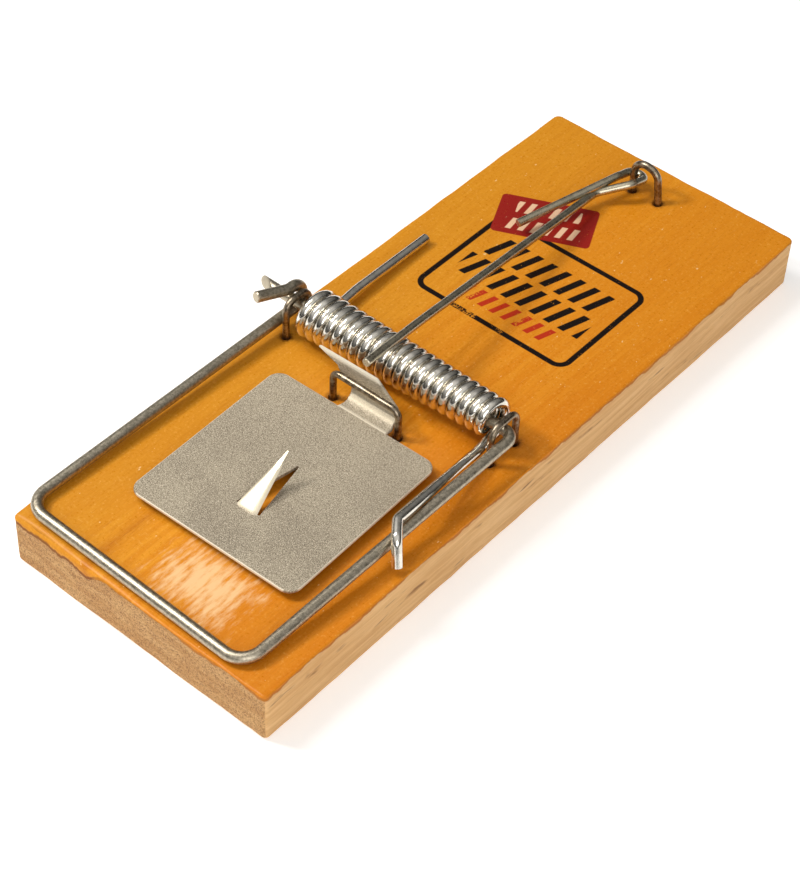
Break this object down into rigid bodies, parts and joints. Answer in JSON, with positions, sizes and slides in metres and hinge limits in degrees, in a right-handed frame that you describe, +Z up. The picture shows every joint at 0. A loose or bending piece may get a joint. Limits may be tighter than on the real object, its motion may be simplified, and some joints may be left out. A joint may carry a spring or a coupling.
{
  "type": "snap trap",
  "caption": "Wooden-board snap trap with a sprung wire hammer, baited treadle plate and locking lever, shown sprung and at rest.",
  "frame": {"origin": "centre of the board's underside", "axes": "+X to the right seen from the hammer's striking end, +Y along the board towards the lever's staple, +Z up"},
  "size_m": [0.0763, 0.178, 0.0288],
  "materials": {
    "varnished_wood": "orange varnished softwood top with streaky grain, raw pale sides and end grain",
    "galvanised_wire": "mottled dull galvanised zinc",
    "spring_steel": "bright drawn and plated wire",
    "staple_wire": "dark brownish grey steel wire",
    "treadle_sheet": "matte grey-beige coated sheet with bright sheared edges",
    "lever_wire": "satin grey wire"
  },
  "bodies": {
    "board": {"base_board": "varnished_wood", "left_axle_staple": "staple_wire", "right_axle_staple": "staple_wire", "treadle_bridge_staple": "staple_wire", "lever_staple": "staple_wire", "spring_coil": "spring_steel"},
    "hammer": {"hammer_wire": "galvanised_wire", "spring_moving_leg": "spring_steel"},
    "treadle": {"treadle_plate": "treadle_sheet"},
    "lever": {"lever": "lever_wire"}
  },
  "joints": [
    {"name": "hammer_swing", "type": "hinge", "parent": "board", "child": "hammer", "pos_m": [0, -0.0096, 0.0198], "axis": [-1, 0, 0], "range_deg": [0, 183]},
    {"name": "treadle_tilt", "type": "hinge", "parent": "board", "child": "treadle", "pos_m": [0, -0.0214, 0.0173], "axis": [-1, 0, 0], "range_deg": [-1.5, 9]},
    {"name": "lever_lift", "type": "hinge", "parent": "board", "child": "lever", "pos_m": [-0.0038, 0.0796, 0.0164], "axis": [-1, 0, 0], "range_deg": [0, 32]}
  ]
}
